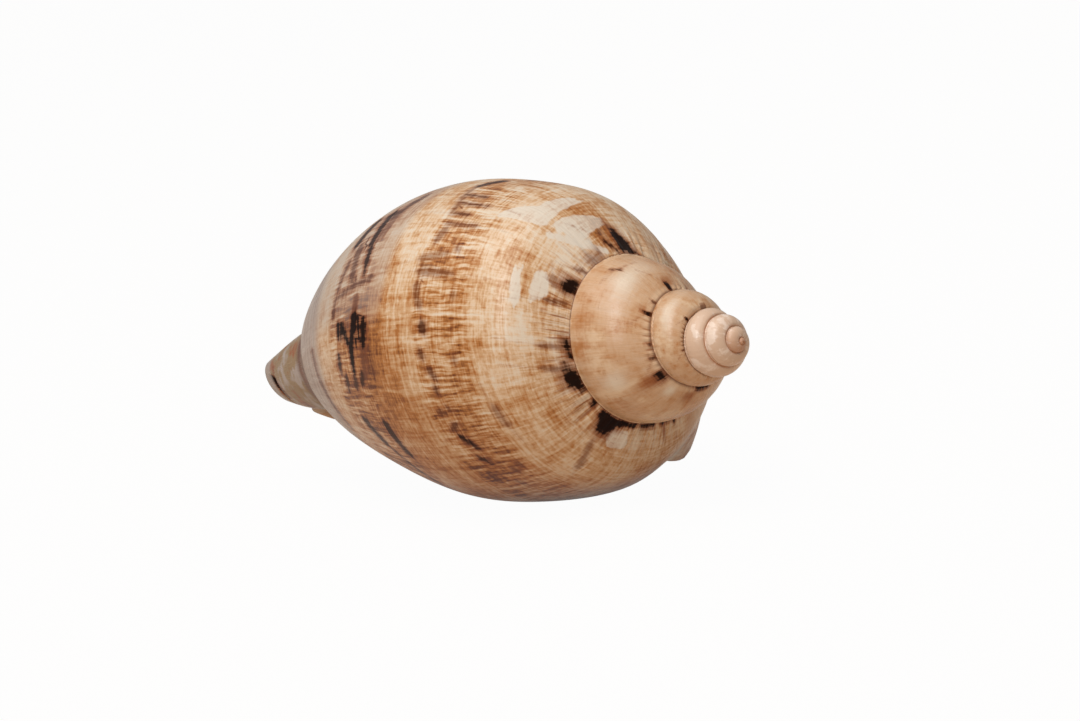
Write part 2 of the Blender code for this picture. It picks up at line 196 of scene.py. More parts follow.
# pale tents and patches: the corners, as above
PALE = (
    ((0.52, 1.06), (0.508, 1.05), (0.495, 1.025), (0.485, 0.98), (0.465, 0.95), (0.445, 0.91), (0.42, 0.79),
     (0.44, 0.755), (0.465, 0.74), (0.485, 0.745), (0.503, 0.735), (0.51, 0.76), (0.515, 0.93)),
    ((0.505, 0.69), (0.483, 0.67), (0.46, 0.615), (0.44, 0.56), (0.41, 0.45), (0.43, 0.385), (0.453, 0.35),
     (0.472, 0.305), (0.483, 0.29), (0.491, 0.41), (0.498, 0.545)),
    ((0.524, 0.69), (0.51, 0.44), (0.497, 0.27), (0.48, 0.14), (0.462, 0.04), (0.448, 0.06), (0.466, 0.18),
     (0.482, 0.31), (0.498, 0.46), (0.513, 0.67)),
    ((0.562, 0.745), (0.58, 0.8), (0.6, 0.79), (0.62, 0.755), (0.626, 0.69), (0.612, 0.635), (0.598, 0.645),
     (0.58, 0.685), (0.568, 0.69)),
    ((0.57, 0.53), (0.557, 0.44), (0.575, 0.33), (0.595, 0.31), (0.607, 0.4), (0.614, 0.51), (0.59, 0.54)),
    ((0.848, 0.161), (0.877, 0.122), (0.892, 0.366), (0.857, 0.41), (0.846, 0.3)),
)

# zones of the markings: place across where each begins, is full, fades and ends
MIDDLE_BAND = (1.03, 1.07, 1.158, 1.168)
FRONT_BAND = (1.26, 1.29, 1.38, 1.41)
HANGING = (-0.01, 0.03, 0.18, 0.55)
# the valley beside the canal: dark with its own brown and with painted shade of its crevice
VALLEY = (1.62, 1.66, 1.78, 1.81)
# groups of strokes on the far side: place across, then first and last turn
FAR_BANDS = ((1.32, 0.03, 0.43), (1.11, 0.05, 0.4))
FAR_SEED = 11
# soft tones: most are the shell's own browner and paler clouds, and a few paler ones are
# painted light. (turn, across), reach along and down in millimetres, strength, where
# above zero is browner and below zero paler
TONES_AND_PAINTED_LIGHT = (
    (0.668, 1.262, 12, 4.2, 0.32), (0.64, 1.31, 5, 4.5, 0.22), (0.7, 1.34, 5, 5, 0.1),
    (0.585, 0.6, 6, 1.2, 0.1), (0.64, 0.45, 12, 14, -0.06), (0.48, 1.23, 12, 8, 0.1),
    (0.448, 0.69, 8, 3.5, 0.2), (0.43, 0.4, 4, 4, 0.18), (0.445, 0.22, 4, 4, 0.16),
    (1.61, 0.82, 14, 3, 0.14), (0.03, 0.18, 7, 4, 0.12), (1.8, 0.64, 6, 2.6, 0.24),
    # painted light: the pale bells at (0.52, 1.07), (0.525, 0.72), (0.525, 0.28) and (0.66, 0.62) lighten
    # the upper and middle of the last whorl, where the light falls
    (0.76, 1.31, 7, 5, 0.1), (0.52, 1.07, 10, 5, -0.09), (0.525, 0.72, 6, 6, -0.03),
    (0.525, 0.28, 9, 4, -0.1), (0.66, 0.62, 8, 6, -0.08), (0.74, 1.22, 9, 5, 0.08),
    (1.78, 0.15, 3, 2.2, 0.5), (1.78, 0.29, 5, 3, 0.22), (1.425, 0.15, 6, 2, 0.36),
    (1.565, 0.11, 3, 1.8, 0.3), (1.905, 0.14, 5, 1.6, 0.5), (1.835, 0.13, 4, 1.8, -0.45),
    (1.75, 0.58, 5.5, 2.4, -0.4), (1.515, 0.46, 14, 2.6, -0.36), (1.68, 0.8, 9, 3, 0.12),
    (2.56, 0.55, 16, 2.6, -0.34),
)

# --- fineness of the mesh ---
STEPS = 300  # sections in one turn
SPIRE_CELLS = 18  # cells across a whorl of the spire, closer at its sutures
SPIRE_CROWDING = 0.13  # how much closer, as a share of a whorl
BODY_CELLS = 120  # further cells down the last whorl
HOLLOW_ROWS = 56  # sections of the hollow
RIM_ROWS = 7  # rows that round the edge of the lip

# --- stage, in metres, degrees and shares ---
FLOOR_SIZE = 12
FLOOR_COLOUR = (205, 184, 162)
FLOOR_WHITE = 0.97  # share of the floor that shows as plain white
FLOOR_GLOSS = 0.35  # the same in reflections, as a share of that
# lights: width, height, azimuth, elevation, distance from the point they aim at
KEY_LIGHT = (0.22, 0.9, 22, 50, 1.1)
TOP_LIGHT = (0.9, 0.9, -40, 78, 1.2)
AIM = Vector((0, 0, 0.03))
TIP = Vector((0.0662, -0.0029, 0.0311))  # tip of the spire at rest
TIP_RIGHT = 0.036  # the tip stands right of the view's middle by this much
TIP_UP = 0.00324  # and above it


# --- curves ---
def natural_spline(x, y, at):
    """Values at `at` of the smooth curve through the points (x, y).

    It is a cubic between two points; its second derivative has no jumps and is
    zero at both ends.
    """
    table = y.reshape(len(x), -1)
    gap = np.diff(x)
    slope = np.diff(table, axis=0) / gap[:, None]
    left = np.eye(len(x))
    right = np.zeros_like(table)
    for k in range(1, len(x) - 1):
        left[k, k - 1:k + 2] = gap[k - 1], 2 * (gap[k - 1] + gap[k]), gap[k]
        right[k] = 6 * (slope[k] - slope[k - 1])
    bend = np.linalg.solve(left, right)
    k = np.clip(np.searchsorted(x, at) - 1, 0, len(x) - 2)
    h = gap[k][:, None]
    a = (x[k + 1] - at)[:, None] / h
    b = 1 - a
    value = a * table[k] + b * table[k + 1]
    value += ((a ** 3 - a) * bend[k] + (b ** 3 - b) * bend[k + 1]) * h * h / 6
    return value.reshape((len(at),) + y.shape[1:])


def step(value, low, high):
    """0 below low, 1 above high, 3t^2 - 2t^3 between."""
    t = np.clip((value - low) / (high - low), 0, 1)
    return t * t * (3 - 2 * t)


def between(value, low, full, fade, high):
    """0 outside low and high, 1 from full to fade, with a smooth step at either side."""
    return step(value, low, full) * (1 - step(value, fade, high))


def bell(value, middle, wide):
    """The bell curve: exponential of minus the square of the distance from the middle over `wide`."""
    return np.exp(-((value - middle) / wide) ** 2)


def run_of(*coordinates):
    """Length along a line of points, from the first one to each of them."""
    legs = np.sqrt(sum(np.diff(c) ** 2 for c in coordinates))
    return np.concatenate(([0], np.cumsum(legs)))


def unit(vectors):
    """The vectors divided by their lengths."""
    return vectors / np.linalg.norm(vectors, axis=-1, keepdims=True)


def clock_of(turn):
    """Direction round the axis, clockwise from the top, in radians: one turn is a full circle."""
    return math.radians(LIP_CLOCK) - math.tau * turn


def suture(turn):
    """Distance and drop of the suture: the exponential of a smooth curve through the logarithms."""
    table = np.array(SUTURE)
    at = np.clip(turn, table[0, 0], table[-1, 0])
    value = np.exp(natural_spline(table[:, 0], np.log(table[:, 1:]), at.ravel()))
    return value[:, 0].reshape(at.shape), value[:, 1].reshape(at.shape)


def bulge_of(turn):
    """The whorl's bulge at a turn, straight between the rows of BULGE."""
    return np.interp(turn, *np.array(BULGE).T)


def canal_drop(turn):
    """Drop of the canal's end: the length plus a share of the cosine of the clock."""
    return LENGTH + CANAL_SLANT * np.cos(clock_of(turn))


def section_knots(turn):
    """The points that a section runs through, as (distance, drop), for any array of turns.

    They are the suture, a middle point pushed out by the whorl's bulge, the next
    suture, and one point for each row of BODY, whose distance shrinks as the
    exponential of the turn; the canal's end flares towards the lip.
    """
    r0, d0 = suture(turn)
    r1, d1 = suture(turn - 1)
    end = canal_drop(turn)
    tucked = step(turn, 0.86, 1.06)
    flare = CANAL_FLARE * np.exp(-np.maximum(turn, 0) / FLARE_FADE)
    bulge = bulge_of(turn)
    knots = [(r0, d0), ((r0 + r1) / 2 + (d1 - d0) * bulge, (d0 + d1) / 2 - (r1 - r0) * bulge), (r1, d1)]
    for share, radius, growth, tuck in BODY:
        r = radius * np.exp(-growth * turn) * (1 - tuck * tucked)
        knots.append((r + flare * step(share, 0.75, 1), d1 + (end - d1) * share))
    knots.append((CANAL_RADIUS + flare, end))
    return np.moveaxis(np.array(knots), (0, 1), (-2, -1))


def knot_weights(across):
    """How much each knot counts at each place across: one row of weights for each place.

    The curve's own parameter grows from knot to knot by the square root of their
    mean distance; across runs evenly along it between the sutures, and on to the end.
    """
    knots = section_knots(np.linspace(0, 1, 41))
    pace = np.sqrt(np.hypot(*np.moveaxis(np.diff(knots, axis=1), -1, 0))).mean(axis=0)
    along = np.concatenate(([0], np.cumsum(pace)))
    at = np.interp(across, (0, 1, 2), (0, along[2], along[-1]))
    return natural_spline(along, np.eye(len(along)), at)


def outline(turn, across):
    """Points of the sections, as (distance, drop), with one row of turns for each section.

    The last whorl follows the smooth curve through its knots. In the spire the
    curve gives way to an arc from suture to suture: a straight line plus the
    bulge times a parabola that is 1 half way.
    """
    here = np.einsum("nmkc,mk->nmc", section_knots(turn), knot_weights(across))
    r0, d0 = suture(turn)
    r1, d1 = suture(turn - 1)
    share = np.clip(across, 0, 1)
    swell = 4 * share * (1 - share) * bulge_of(turn)
    arc_r = r0 + (r1 - r0) * share + (d1 - d0) * swell
    arc_d = d0 + (d1 - d0) * share - (r1 - r0) * swell
    weight = step(turn, 1, 1.7) * (across <= 1)
    return here + (np.stack((arc_r, arc_d), -1) - here) * weight[..., None]


def section(turn, across, lift=0):
    """Distance and drop on the outside, moved outwards by `lift` along its own normal.

    The normal is the section's tangent, taken between two places close by, turned
    by a right angle.
    """
    here = outline(turn, across)
    tangent = unit(outline(turn, across + 0.002) - outline(turn, across - 0.002))
    return here[..., 0] + lift * tangent[..., 1], here[..., 1] - lift * tangent[..., 0]


def sweep_of(turn, across):
    """Turns by which a point is set back, so that the lip bows behind its ends.

    A quarter sine across the whorl, eased near the canal, times the square of
    what is left of half a turn behind the lip.
    """
    bow = np.sin(np.clip(across / 0.6, 0, 1) * math.pi / 2)
    bow = bow * (1 - 0.6 * step(across, 1.5, 2))
    return LIP_SWEEP * bow * np.clip(1 - np.maximum(turn, 0) / 0.5, 0, 1) ** 2


def place(turn, r, drop):
    """Points in the shell's own frame: the axis is Z with the spire up, the canal bends a little."""
    clock = clock_of(turn)
    bend = CANAL_BEND * step(drop, 0.6 * LENGTH, 1.05 * LENGTH)
    return np.stack((r * np.sin(clock), r * np.cos(clock) - bend, -drop), axis=-1)


def attitude():
    """The turn from the shell's own frame to its place at rest."""
    lie = Matrix(((0, 0, 1), (1, 0, 0), (0, 1, 0)))
    roll = Matrix.Rotation(math.radians(REST_ROLL), 3, "X")
    pitch = Matrix.Rotation(math.radians(REST_PITCH), 3, "Y")
    return np.array(pitch @ roll @ lie)


# --- relief ---
def bead_wave(turn):
    """Height of the beads under the suture, from -1 to 1.

    A cosine of the turn whose pace and strength vary slowly; it fades out on
    the last whorl and on the first ones.
    """
    uneven = 0.45 * np.sin(math.tau * 5.3 * turn) + 0.3 * np.sin(math.tau * 12.7 * turn + 1)
    strength = 0.6 + 0.4 * np.sin(math.tau * 3.1 * turn + 0.6)
    wave = np.cos(math.tau * BEADS * turn + 2 * uneven)
    return wave * strength * between(turn, 0.75, 0.95, 2.5, 4)


def relief(turn, across):
    """Height of the outside over the plain form.

    The sum of beads under the suture (a cosine of the turn), shallow axial
    wrinkles on the shoulder of the last whorl (a sine of the turn), the glaze
    laid beside the opening and the pillar's folds, which start just inside it;
    less the grooves at the spire's sutures and the slit beside the canal. All
    but the glaze are bell curves across the whorl.
    """
    beads = BEAD_HEIGHT * bead_wave(turn) * bell(across, 0.035, 0.035)
    wavy = turn * WRINKLES + 0.8 * np.sin(turn * 41) + 0.5 * np.sin(turn * 97 + across * 3)
    wrinkles = WRINKLE_HEIGHT * np.sin(math.tau * wavy) * bell(across, 0.12, 0.22)
    wrinkles *= between(turn, 0.05, 0.3, 0.9, 1)
    groove = bell(across, 0, 0.05) + bell(across, 1, 0.05) * (across <= 1)
    groove = groove * step(turn, 1.6, 2.6) * GROOVE * (suture(turn - 1)[1] - suture(turn)[1])
    slit = SLIT_DEPTH * bell(across, 1.951, 0.006) * between(turn, 0.62, 0.68, 0.78, 0.86)
    glaze = GLAZE * step(turn, 0.9, 1) * step(across, 1, 1.08)
    folds = sum(high * bell(across, at, wide) for at, high, wide in PLAITS)
    return beads + wrinkles - groove - slit + glaze + folds * step(turn, 0.965, 1.03)


# --- growth map and markings ---
def growth_map(turn, across):
    """Place on the growth map in millimetres: along the growth, and down the whorl.

    The first is a fixed length for each turn. The second is the length of the
    section at MAP_TURN, from the suture to that place.
    """
    fine = np.linspace(0, 2, 401)
    r, drop = section(np.full((1, len(fine)), MAP_TURN), fine)
    return turn * TURN_LENGTH, np.interp(across, fine, run_of(r[0], drop[0]) * 1000)


def near_to(along, down, u, v, reach, share):
    """Which places lie near the points (u, v): within `reach` plus a share of their spread."""
    near = np.abs(along - u.mean()) < reach + np.ptp(u) * share
    return near & (np.abs(down - v.mean()) < reach + np.ptp(v) * share)


def improve(best, near, score):
    """Puts a score in place of a worse one; returns which scores are better, and where they lie."""
    better = score > best[near]
    where = np.nonzero(near)[0][better]
    best[where] = score[better]
    return better, where


def stroke_field(along, down, strokes):
    """Signed distance to the nearest stroke's middle line, its half width there, and its tone.

    The nearest stroke has the largest half width less distance. Past its end the
    half width shrinks by as much as the end is behind. In millimetres.
    """
    best, aside, width, tone = (np.full(along.shape, start) for start in (-9.0, 9.0, -1.0, 0.0))
    for first, last, dark, *points in strokes:
        u, v = growth_map(*np.array(points).T)
        start = run_of(u, v)
        near = near_to(along, down, u, v, 12, 0.5)
        for k, leg in enumerate(np.diff(start)):
            du, dv = (u[k + 1] - u[k]) / leg, (v[k + 1] - v[k]) / leg
            pu, pv = along[near] - u[k], down[near] - v[k]
            forward = pu * du + pv * dv
            side = pu * dv - pv * du
            inside = np.clip(forward, 0, leg)
            beyond = np.abs(forward - inside)
            half = first + (last - first) * (start[k] + inside) / start[-1]
            score = half - np.hypot(side, beyond)
            better, where = improve(best, near, score)
            aside[where] = side[better]
            width[where] = np.where(score < -1.3, -1, half - beyond)[better]
            tone[where] = dark
    return aside, width, tone


def patch_field(along, down, patches):
    """Distance inside the nearest patch's edge, below zero outside it, and the patch's number.

    A place lies inside a polygon if a line from it crosses the edge an odd number
    of times. In millimetres.
    """
    best = np.full(along.shape, -4.0)
    which = np.zeros(along.shape, dtype=int)
    for number, corners in enumerate(patches):
        u, v = growth_map(*np.array(corners).T)
        near = near_to(along, down, u, v, 5, 1)
        pu, pv = along[near], down[near]
        gap = np.full(pu.shape, 9.0)
        inside = np.zeros(pu.shape, dtype=bool)
        for u0, v0, u1, v1 in zip(u, v, np.roll(u, -1), np.roll(v, -1)):
            du, dv = u1 - u0, v1 - v0
            share = np.clip(((pu - u0) * du + (pv - v0) * dv) / (du * du + dv * dv), 0, 1)
            gap = np.minimum(gap, np.hypot(pu - u0 - share * du, pv - v0 - share * dv))
            level = (v0 > pv) != (v1 > pv)
            inside ^= level & (pu < u0 + (pv - v0) * du / (dv if dv else 1))
        where = improve(best, near, np.where(inside, gap, -gap))[1]
        which[where] = number
    return best, which


def tone_and_light_field(along, down):
    """The sum of the soft tones, a few of them painted light: each is its strength times a bell curve both
    ways.
    """
    total = 0
    for turn, across, wide, high, strength in TONES_AND_PAINTED_LIGHT:
        u, v = growth_map(turn, across)
        total = total + strength * bell(along, u, wide) * bell(down, v, high)
    return total


def far_strokes():
    """Strokes for the far side, in the two netted bands.

    Each group is a few short strokes side by side, drawn with a fixed seed.
    """
    chance = np.random.RandomState(FAR_SEED)
    rows = []
    for across, low, high in FAR_BANDS:
        for start in np.arange(low, high, 0.055) + chance.uniform(-0.012, 0.012, 1):
            for aside in chance.uniform(-0.045, 0.045, chance.randint(2, 5)):
                first = (start + chance.uniform(0, 0.02), across + aside)
                last = (first[0] + chance.uniform(0.006, 0.022), first[1] + chance.uniform(-0.008, 0.008))
                wide = chance.uniform(0.4, 0.9)
                rows.append((wide, wide * 0.6, chance.uniform(0.5, 1), first, last))
    return rows


def pattern_fields(turn, across):
    """The markings' fields at each face corner, three numbers for each name.

    After the two sets of strokes come a blotch, its tone and the canal's pale rim;
    a pale patch, the two netted bands, the strokes under the suture; the spire, the
    last whorl's later part, browner towards the floor partly as painted shade, the
    front end with the canal; beads, the front end's shoulder, the dark valley beside
    the canal, partly painted shade; then the soft tones, a few of them painted light,
    the first whorls and the lip's cream edge. Zones begin and end in smooth steps.
    """
    along, down = growth_map(turn, across)
    blot, number = patch_field(along, down, [corners for tone, *corners in BLOTS])
    body = 1 - step(turn, 0.97, 1.03)
    bands = np.maximum(between(across, *MIDDLE_BAND), between(across, *FRONT_BAND))
    hanging = between(across, *HANGING) * (0.35 + 0.65 * step(turn, 0.5, 0.6))
    spire = step(turn, 1, 1.03) * (0.45 + 0.25 * step(turn, 1.95, 2.1) + 0.3 * step(turn, 3, 3.6))
    # the last whorl's later part is browner towards the floor: partly its own colour, partly painted shade;
    # the second term is the tan between the bands, its own colour
    late_and_lower_shade = (step(turn, 0.55, 0.85) + 0.6 * step(turn, 0.56, 0.68) * step(across, 1, 1.1)) / 1.6
    front_end = 0.5 * (step(across, 1.43, 1.5) + step(across, 1.62, 1.68))
    upper = step(across, 1.15, 1.26) * between(turn, 0.1, 0.3, 0.6, 0.76)
    cream_edge = (1 - step(turn, 0.06, 0.1)) * (1 - step(down, 0.35, 0.6)) * (across < 0.5)
    fields = {
        "strokes_a": stroke_field(along, down, STROKES_A),
        "strokes_b": stroke_field(along, down, (*STROKES_B, *far_strokes())),
        "blots": (blot, np.array([row[0] for row in BLOTS])[number], step(across, 1.962, 1.968)),
        "zones": (patch_field(along, down, PALE)[0], body * bands, body * hanging),
        "ends": (spire, body * late_and_lower_shade, front_end),
        "forms": (bead_wave(turn), body * upper, between(across, *VALLEY)),
        "tones_light_and_edges": (tone_and_light_field(along, down), step(turn, 5.3, 6), cream_edge),
    }
    return {name: np.stack(field, -1) for name, field in fields.items()}


# --- mesh ---
class Sheets:
    """Grids of points that share vertices, gathered into one mesh.

    Each face corner keeps four numbers: its vertex, its turn, its place across
    and its lining value. So a vertex on a seam can stand for both of the whorls
    that meet there.
    """

    def __init__(self):
        self.points = np.empty((0, 3))
        self.faces = []

    def add(self, points):
        """New vertices for a grid of points; returns their numbers in the same grid."""
        flat = points.reshape(-1, 3)
        numbers = len(self.points) + np.arange(len(flat)).reshape(points.shape[:-1])
        self.points = np.concatenate((self.points, flat))
        return numbers

    def quads(self, *layers):
        """The cells of a grid, given as vertex, turn, across and lining at each of its points.

        A cell with two of its corners in one place is a triangle.
        """
        grid = np.stack(np.broadcast_arrays(*layers), -1)
        here, below = grid[:-1], grid[1:]
        cells = np.stack((here[:, :-1], below[:, :-1], below[:, 1:], here[:, 1:]), -2).reshape(-1, 4, 4)
        same = cells[..., 0] == np.roll(cells[..., 0], -1, axis=1)
        whole = ~same.any(axis=1)
        self.faces.append(cells[whole])
        keep = (np.argmax(same[~whole], axis=1)[:, None] + np.array((1, 2, 3))) % 4
        cut = np.take_along_axis(cells[~whole], keep[..., None], axis=1)
        self.triangles(*np.moveaxis(cut, -1, 0))

    def triangles(self, *layers):
        """Single triangles, one row of three corners each, without those that use a vertex twice."""
        corners = np.stack(np.broadcast_arrays(*layers), -1)
        real = (corners[..., 0] != np.roll(corners[..., 0], -1, axis=1)).all(axis=1)
        self.faces.append(corners[real])

    def bridge(self, long, short, turn, across, lining):
        """Triangles between a long and a short string of vertices that run side by side."""
        nearest = np.round(np.linspace(0, len(short) - 1, len(long))).astype(int)
        moves = np.nonzero(np.diff(nearest))[0]
        first = np.stack((long[:-1], long[1:], short[nearest[:-1]]), -1)
        second = np.stack((long[moves + 1], short[nearest[moves + 1]], short[nearest[moves]]), -1)
        for vertex, at in ((first, slice(len(first))), (second, moves)):
            values = [np.broadcast_to(v, len(long))[at, None] for v in (turn, across, lining)]
            self.triangles(vertex, *values)

    def mesh(self, name):
        """The mesh, and its face corners."""
        corners = np.concatenate([face.reshape(-1, 4) for face in self.faces])
        sizes = np.concatenate([np.full(len(face), face.shape[1]) for face in self.faces])
        mesh = bpy.data.meshes.new(name)
        mesh.vertices.add(len(self.points))
        mesh.loops.add(len(corners))
        mesh.loops.foreach_set("vertex_index", corners[:, 0].astype(np.int32))
        mesh.polygons.add(len(sizes))
        mesh.polygons.foreach_set("loop_start", np.cumsum(sizes) - sizes)
        mesh.update(calc_edges=True)
        return mesh, corners


def hollow_sections(turns, share_wall, share_pillar, wall_thickness):
    """The hollow's sections: points on the inside of the wall and on the pillar.

    The wall's inside is the outside moved in by the wall's thickness, and the
    pillar is the whorl one turn further in with its relief. A section runs from
    the drop where the two part to the drop where they meet, or to the canal's recess.
    """
    fine, fine_in = np.linspace(0, 2, 401), np.linspace(1, 2, 301)
    grid = np.repeat(turns[:, None], len(fine), axis=1)
    grid_in = grid[:, :len(fine_in)] + 1
    out_r, out_d = section(grid, fine, -wall_thickness)
    in_r, in_d = section(grid_in, fine_in, relief(grid_in, fine_in))
    rising = np.arange(1, len(fine) + 1) * 1e-9
    rows = []
    for k, turn in enumerate(turns):
        depth = np.maximum.accumulate(out_d[k]) + rising
        depth_in = np.maximum.accumulate(in_d[k]) + rising[:len(fine_in)]
        end = canal_drop(turn) - CANAL_RECESS
        drops = np.linspace(suture(turn)[1], end, 1200)
        gap = np.interp(drops, depth, out_r[k]) - np.interp(drops, depth_in, in_r[k])
        widest = np.argmax(np.where(drops < 0.8 * LENGTH, gap, -1))
        shut = np.nonzero(gap < LEAST_GAP)[0]
        low = drops[max(shut[shut < widest], default=0)]
        high = drops[min(shut[shut > widest], default=-1)]
        at = low + (high - low) * share_wall
        at_in = low + (high - low) * share_pillar
        mark = np.interp(at, depth, fine)
        sweep = sweep_of(turn, mark)
        sweep_in = sweep[0] * (1 - step(share_pillar, 0, 0.2)) + sweep[-1] * step(share_pillar, 0.8, 1)
        rows.append((
            place(turn + sweep, np.interp(at, depth, out_r[k]), at),
            place(turn + sweep_in, np.interp(at_in, depth_in, in_r[k]), at_in),
            mark, np.interp(at_in, depth_in, fine_in), high < end - 1e-6))
    return (np.array(column) for column in zip(*rows))


def close_canal(sheets, rim, chain):
    """The canal's end: rows from the rim to the chain of vertices at the hollow's end.

    Each goes a share of the way to the chain, taken at even steps of its length,
    and stands out by the fourth root of a half sine. Triangles join the last one.
    """
    goal = sheets.points[chain].T
    length = run_of(*goal)
    even = np.linspace(0, 1, len(rim))
    target = np.stack([np.interp(even, length / length[-1], column) for column in goal], -1)
    rows = [rim]
    for share, out, _ in FUNNEL[1:]:
        ring = sheets.points[rim] * (1 - share) + target * share
        ring[:, 2] -= out * np.sin(even * math.pi) ** 0.25
        rows.append(sheets.add(ring))
        rows[-1][[0, -1]] = rim[[0, -1]]
    sheets.quads(np.array(rows), even, 2, np.array(FUNNEL)[:, 2:])
    sheets.bridge(rows[-1], chain, even, 2, 1)


def shell_sheets(steps, wall_thickness):
    """The whole surface of the shell, as grids that share their edges.

    The outside winds from the tip of the spire to the lip; the lip's edge is
    half a round; the hollow's two sides run in from there; the canal's end is a
    shallow funnel.
    """
    sheets = Sheets()
    last = round(TURNS * steps)
    turns = TURNS - np.arange(last + 1)[:, None] / steps
    spire = np.linspace(0, 1, SPIRE_CELLS + 1)
    spire = spire - SPIRE_CROWDING * np.sin(math.tau * spire)
    body = np.linspace(1, 2, BODY_CELLS + 1)
    across = np.concatenate((spire[:-1], body))

    def outside(rows, across):
        """Points on the outside, swept back and with the relief."""
        grid = np.repeat(rows, len(across), axis=1)
        spread = grid + sweep_of(grid, across)
        return place(spread, *section(spread, across, relief(spread, across)))

    def drop_share(turn, across):
        """Drop at each place, as a share of the way from the first to the last."""
        drop = section(np.full((1, len(across)), turn), across)[1][0]
        return (drop - drop[0]) / (drop[-1] - drop[0])

    # the outside: spire columns without their last, which is the next whorl's first
    upper = sheets.add(outside(turns, spire[:-1]))
    lower = sheets.add(outside(turns[last - steps:], body))
    lower[0, 0] = upper[last, 0]
    whorls = np.column_stack((upper, np.concatenate((upper[steps:, 0], lower[1:, 0]))))
    sheets.quads(whorls, turns, spire, 0)
    sheets.quads(lower, turns[last - steps:], body, 0)

    # the tip of the spire, a small fan
    ring = np.concatenate((upper[1:steps, 0], whorls[0, :0:-1]))
    fan = np.stack((np.full(len(ring) - 1, upper[0, 0]), ring[:-1], ring[1:]), -1)
    sheets.triangles(fan, TURNS, 0, 0)

    # the hollow, whose two sides share their edges where they meet
    hollow = HOLLOW_START + (HOLLOW_TURNS - HOLLOW_START) * np.linspace(0, 1, HOLLOW_ROWS) ** 1.15
    shares = np.maximum.accumulate(drop_share(0.0, across)), drop_share(1.0, body)
    wall, pillar, marks, places, meets = hollow_sections(hollow, *shares, wall_thickness)
    closes = int(np.argmax(meets))
    joins = np.s_[:, 0], np.s_[closes:, -1]
    for join in joins:
        wall[join] = (wall[join] + pillar[join]) / 2
    wall_ids, pillar_ids = sheets.add(wall), sheets.add(pillar)
    for join in joins:
        pillar_ids[join] = wall_ids[join]
    hollow = hollow[:, None]
    sheets.quads(wall_ids, hollow, marks, 1)
    sheets.quads(pillar_ids, hollow + 1, places, 0.6 + 0.4 * step(hollow, 0.05, 0.3))
    sheets.bridge(wall_ids[-1], pillar_ids[-1], HOLLOW_TURNS, 1.5, 1)

    # from the outside of the last whorl one turn back, over the glaze, to the pillar
    share = np.linspace(0, 1, RIM_ROWS + 2)[:, None]
    spots = body * (1 - share) + places[0] * share
    bow = sweep_of(0, 2) * step(body, 1.8, 2)
    rows = []
    for part, spot in zip(share[1:-1, 0], spots[1:-1]):
        grid = np.full((1, len(spot)), 1.0 + HOLLOW_START * part)
        r, drop = section(grid, spot, relief(grid, spot))
        rows.append(place(grid - 1 + bow * part, r, drop)[0])
    mantle = np.concatenate((lower[:1], sheets.add(np.array(rows)), pillar_ids[:1]))
    sheets.quads(mantle, 1 + HOLLOW_START * share, spots, 0.4 + 0.2 * share)

    # the lip's edge: half a round between the outside and the wall's inside
    lip = np.concatenate((whorls[last, :-1], lower[steps]))
    outer, inner = sheets.points[lip], sheets.points[wall_ids[0]]
    forward = unit(outer - sheets.points[np.concatenate((upper[last - 3], lower[steps - 3]))])
    thick = np.linalg.norm(outer - inner, axis=-1, keepdims=True)
    forward *= LIP_ROUNDING * thick * step(across, 0, 0.25)[:, None]
    angle = math.pi * share[1:-1, None]
    edge = (outer + inner) / 2 + (outer - inner) / 2 * np.cos(angle) + forward * np.sin(angle)
    edge = sheets.add(edge)
    edge[:, 0] = mantle[1:-1, 0]
    edge = np.concatenate((lip[None, :], edge, wall_ids[:1]))
    inmost = share == 1
    sheets.quads(edge, HOLLOW_START * inmost, np.where(inmost, marks[0], across), share)

    chain = (edge[:, -1], wall_ids[1:closes + 1, -1], pillar_ids[closes - 1::-1, -1], mantle[-2::-1, -1])
    close_canal(sheets, lower[::-1, -1], np.concatenate(chain))
    return sheets


def smooth_mesh(name, steps=STEPS, wall_thickness=WALL):
    """The shell's mesh at rest on the stage, and the turn, across and lining of its face corners.

    It is moved so that its box has the solids' middle and their lowest height.
    """
    sheets = shell_sheets(steps, wall_thickness)
    mesh, corners = sheets.mesh(name)
    points = sheets.points @ attitude().T
    used = points[corners[:, 0].astype(int)]
    low, high = used.min(axis=0), used.max(axis=0)
    cad_low, cad_high = np.array(CAD_BOX)
    shift = (cad_low + cad_high) / 2 - (low + high) / 2
    shift[2] = cad_low[2] - low[2]
    mesh.vertices.foreach_set("co", (points + shift).ravel())
    mesh.update()
    return mesh, corners[:, 1:].T


def turn_outwards(mesh):
    """Drops vertices that no face uses and turns every face outwards."""
    bm = bmesh.new()
    bm.from_mesh(mesh)
    bmesh.ops.delete(bm, geom=[v for v in bm.verts if not v.link_faces], context="VERTS")
    bmesh.ops.recalc_face_normals(bm, faces=bm.faces[:])
    bm.to_mesh(mesh)
    bm.free()


# --- materials ---
def reckoning(operation, swapped=False):
    """A method that puts a signal and another value through a maths node."""
    def method(self, other):
        first, second = (other, self) if swapped else (self, other)
        return self.wiring.node("Math", {0: first, 1: second}, operation=operation)
    return method


